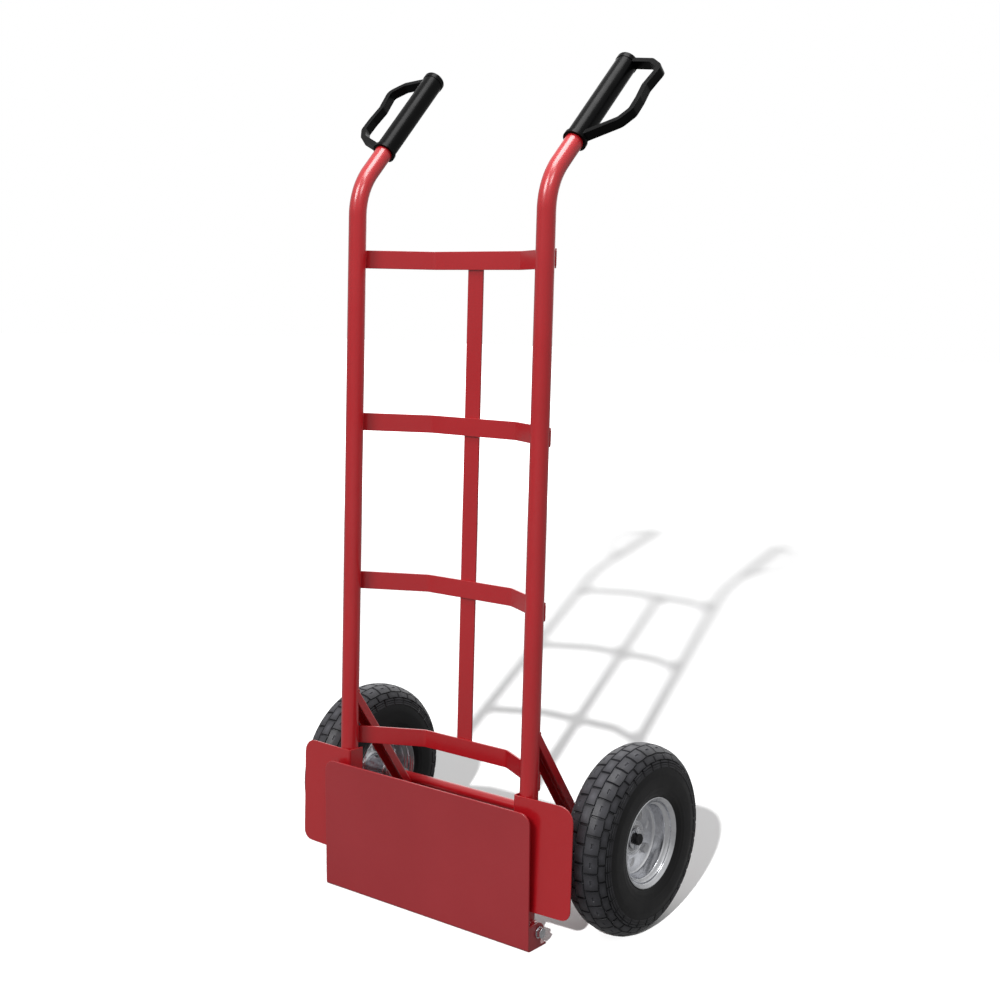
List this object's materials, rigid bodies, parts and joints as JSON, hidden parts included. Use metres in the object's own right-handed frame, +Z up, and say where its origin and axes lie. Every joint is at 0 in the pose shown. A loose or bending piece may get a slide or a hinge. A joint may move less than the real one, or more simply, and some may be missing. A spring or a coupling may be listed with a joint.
{
  "type": "hand truck",
  "caption": "Two-wheeled hand truck with a bent-tube frame, dished crossbars, guarded grips, pneumatic wheels and a folding toe plate.",
  "frame": {"origin": "on the floor below the middle of the bounding box, with the wheels and the folded toe plate standing on the floor", "axes": "+Z up along the uprights, +Y back towards the wheels, -Y to the load side with the toe plate, +X to the right as seen from the front"},
  "size_m": [0.555, 0.2928, 1.1824],
  "materials": {
    "red_paint": "glossy powder coat",
    "toe_paint": "satin powder coat",
    "grip_plastic": "satin black",
    "tyre_rubber": "matt black rubber",
    "tube_rubber": "smooth black rubber",
    "galvanised": "bright zinc plate",
    "bright_steel": "machined steel",
    "dark_steel": "oiled steel"
  },
  "bodies": {
    "frame": {"upright_left": "red_paint", "upright_right": "red_paint", "wing_left": "red_paint", "wing_right": "red_paint", "brace_left": "red_paint", "brace_right": "red_paint", "strut_left": "red_paint", "strut_right": "red_paint", "grip_left": "grip_plastic", "grip_right": "grip_plastic", "crossbar_bottom": "red_paint", "crossbar_lower": "red_paint", "crossbar_upper": "red_paint", "crossbar_top": "red_paint", "centre_bar": "red_paint", "axle": "dark_steel", "axle_spacers": "galvanised", "axle_washers": "galvanised", "cotter_pins": "galvanised", "hinge_tube": "red_paint", "hinge_bushes": "dark_steel", "hinge_bolt": "galvanised", "hinge_washers": "galvanised", "hinge_nut": "galvanised"},
    "toe_plate": {"toe_plate": "toe_paint"},
    "wheel_left": {"tyre_left": "tyre_rubber", "inner_tube_left": "tube_rubber", "rim_outer_left": "galvanised", "rim_inner_left": "galvanised", "hub_left": "galvanised", "bearing_outer_left": "bright_steel", "bearing_inner_left": "bright_steel", "rim_bolts_left": "bright_steel", "rim_nuts_left": "bright_steel", "valve_stem_left": "tube_rubber", "valve_cap_left": "grip_plastic"},
    "wheel_right": {"tyre_right": "tyre_rubber", "inner_tube_right": "tube_rubber", "rim_outer_right": "galvanised", "rim_inner_right": "galvanised", "hub_right": "galvanised", "bearing_outer_right": "bright_steel", "bearing_inner_right": "bright_steel", "rim_bolts_right": "bright_steel", "rim_nuts_right": "bright_steel", "valve_stem_right": "tube_rubber", "valve_cap_right": "grip_plastic"}
  },
  "joints": [
    {"name": "toe_plate_fold", "type": "hinge", "parent": "frame", "child": "toe_plate", "pos_m": [0, -0.11859, 0.02262], "axis": [1, 0, 0], "range_deg": [-2, 88]},
    {"name": "wheel_left_spin", "type": "hinge", "parent": "frame", "child": "wheel_left", "pos_m": [-0.241, 0.01641, 0.13], "axis": [1, 0, 0], "continuous": true},
    {"name": "wheel_right_spin", "type": "hinge", "parent": "frame", "child": "wheel_right", "pos_m": [0.241, 0.01641, 0.13], "axis": [1, 0, 0], "continuous": true}
  ]
}
